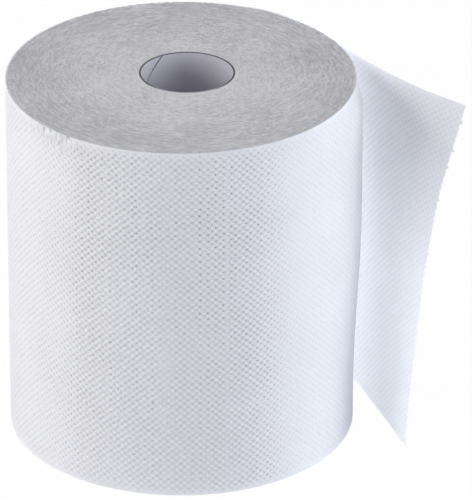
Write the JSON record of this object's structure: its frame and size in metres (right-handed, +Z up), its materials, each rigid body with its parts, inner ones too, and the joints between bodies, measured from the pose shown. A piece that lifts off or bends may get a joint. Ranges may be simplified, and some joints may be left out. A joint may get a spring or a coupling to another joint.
{
  "type": "paper towel roll",
  "caption": "Upright roll of embossed two-ply paper towel wound on a hollow card core, with its last sheet hanging loose and a torn free edge.",
  "frame": {"origin": "on the core's axis, at the foot of the standing roll", "axes": "+Z up along the core, -Y towards the front, with the loose sheet on the +X side"},
  "size_m": [0.2455, 0.1898, 0.206],
  "materials": {
    "card": "matte",
    "paper": "matte"
  },
  "bodies": {
    "root": {"core_tube": "card", "towel_paper": "paper"}
  },
  "joints": []
}
